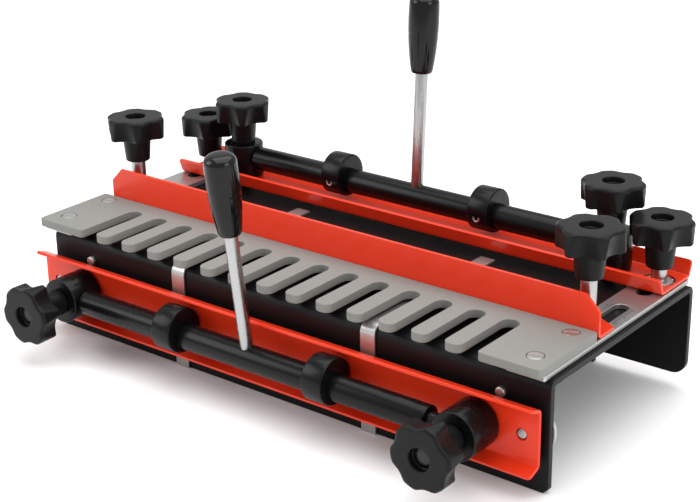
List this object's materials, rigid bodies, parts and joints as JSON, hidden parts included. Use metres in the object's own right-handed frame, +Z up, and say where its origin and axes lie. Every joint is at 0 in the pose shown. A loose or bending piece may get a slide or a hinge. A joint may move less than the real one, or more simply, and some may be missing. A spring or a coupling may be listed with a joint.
{
  "type": "dovetail jig",
  "caption": "Dovetail jig for a router: folded steel base, finger template and fence, and two board clamps closed by lever cams.",
  "frame": {"origin": "middle of the footprint, on the surface the jig stands on", "axes": "+X along the template towards the right end, +Y from the front clamp to the back, +Z up"},
  "size_m": [0.393, 0.2226, 0.2167],
  "materials": {
    "base_black": "satin",
    "paint_red": "gloss",
    "comb_grey": "matte",
    "zinc": "satin",
    "bright_steel": "polished",
    "bar_black": "satin",
    "knob_black": "matte",
    "grip_black": "gloss"
  },
  "bodies": {
    "base": {"base_frame": "base_black", "backing_strips": "zinc", "front_stop_pins": "zinc", "top_stop_pins": "zinc", "fence": "paint_red", "fence_studs": "zinc", "fence_sleeves": "bright_steel", "arm_studs": "zinc", "arm_sleeves": "bright_steel", "arm_washers": "zinc", "front_clamp_studs": "zinc", "top_clamp_studs": "zinc", "locating_pins": "zinc", "locating_washers": "zinc", "locating_nuts": "zinc"},
    "template": {"comb_template": "comb_grey", "comb_screws": "zinc", "template_arm_left": "zinc", "template_arm_right": "zinc"},
    "front_carriage": {"front_post_left": "bar_black", "front_post_right": "bar_black"},
    "front_cam": {"front_cam_tube": "bar_black", "front_cam_pins": "bar_black", "front_set_screws": "zinc", "front_cam_ring_left": "bar_black", "front_cam_ring_right": "bar_black", "front_lever_rod": "bright_steel", "front_lever_grip": "grip_black"},
    "front_channel": {"front_clamp_channel": "paint_red"},
    "front_knob_left": {"front_knob_left": "knob_black", "front_knob_left_insert": "bright_steel"},
    "front_knob_right": {"front_knob_right": "knob_black", "front_knob_right_insert": "bright_steel"},
    "top_carriage": {"top_post_left": "bar_black", "top_post_right": "bar_black"},
    "top_cam": {"top_cam_tube": "bar_black", "top_cam_pins": "bar_black", "top_set_screws": "zinc", "top_cam_ring_left": "bar_black", "top_cam_ring_right": "bar_black", "top_lever_rod": "bright_steel", "top_lever_grip": "grip_black"},
    "top_channel": {"top_clamp_channel": "paint_red"},
    "top_knob_left": {"top_knob_left": "knob_black", "top_knob_left_insert": "bright_steel"},
    "top_knob_right": {"top_knob_right": "knob_black", "top_knob_right_insert": "bright_steel"},
    "fence_knob_left": {"fence_knob_left": "knob_black", "fence_knob_left_insert": "bright_steel"},
    "fence_knob_right": {"fence_knob_right": "knob_black", "fence_knob_right_insert": "bright_steel"},
    "arm_knob_left": {"arm_knob_left": "knob_black", "arm_knob_left_insert": "bright_steel"},
    "arm_knob_right": {"arm_knob_right": "knob_black", "arm_knob_right_insert": "bright_steel"}
  },
  "joints": [
    {"name": "template_adjust", "type": "slide", "parent": "base", "child": "template", "axis": [0, -1, 0], "range_m": [0, 0.01]},
    {"name": "front_posts_out", "type": "slide", "parent": "base", "child": "front_carriage", "axis": [0, -1, 0], "range_m": [0, 0.016]},
    {"name": "front_channel_out", "type": "slide", "parent": "base", "child": "front_channel", "axis": [0, -1, 0], "range_m": [0, 0.016]},
    {"name": "front_lever", "type": "hinge", "parent": "front_carriage", "child": "front_cam", "pos_m": [0, -0.07152, 0.0342], "axis": [1, 0, 0], "range_deg": [-7.5, 82.5]},
    {"name": "front_knob_left_turn", "type": "hinge", "parent": "front_carriage", "child": "front_knob_left", "pos_m": [-0.1505, -0.08132, 0.0342], "axis": [0, -1, 0], "continuous": true},
    {"name": "front_knob_right_turn", "type": "hinge", "parent": "front_carriage", "child": "front_knob_right", "pos_m": [0.1505, -0.08132, 0.0342], "axis": [0, -1, 0], "continuous": true},
    {"name": "top_posts_out", "type": "slide", "parent": "base", "child": "top_carriage", "axis": [0, 0, 1], "range_m": [0, 0.016]},
    {"name": "top_channel_out", "type": "slide", "parent": "base", "child": "top_channel", "axis": [0, 0, 1], "range_m": [0, 0.016]},
    {"name": "top_lever", "type": "hinge", "parent": "top_carriage", "child": "top_cam", "pos_m": [0, 0.09068, 0.0869], "axis": [-1, 0, 0], "range_deg": [-3.7, 86.3]},
    {"name": "top_knob_left_turn", "type": "hinge", "parent": "top_carriage", "child": "top_knob_left", "pos_m": [-0.1445, 0.09068, 0.0967], "axis": [0, 0, 1], "continuous": true},
    {"name": "top_knob_right_turn", "type": "hinge", "parent": "top_carriage", "child": "top_knob_right", "pos_m": [0.1445, 0.09068, 0.0967], "axis": [0, 0, 1], "continuous": true},
    {"name": "fence_knob_left_turn", "type": "hinge", "parent": "base", "child": "fence_knob_left", "pos_m": [-0.1728, 0.01628, 0.0982], "axis": [0, 0, 1], "continuous": true},
    {"name": "fence_knob_right_turn", "type": "hinge", "parent": "base", "child": "fence_knob_right", "pos_m": [0.1728, 0.01628, 0.0982], "axis": [0, 0, 1], "continuous": true},
    {"name": "arm_knob_left_turn", "type": "hinge", "parent": "base", "child": "arm_knob_left", "pos_m": [-0.1772, 0.09068, 0.0809], "axis": [0, 0, 1], "continuous": true},
    {"name": "arm_knob_right_turn", "type": "hinge", "parent": "base", "child": "arm_knob_right", "pos_m": [0.1772, 0.09068, 0.0809], "axis": [0, 0, 1], "continuous": true}
  ],
  "couplings": [
    {"joint": "front_channel_out", "follows": "front_posts_out", "ratio": 1},
    {"joint": "top_channel_out", "follows": "top_posts_out", "ratio": 1}
  ]
}
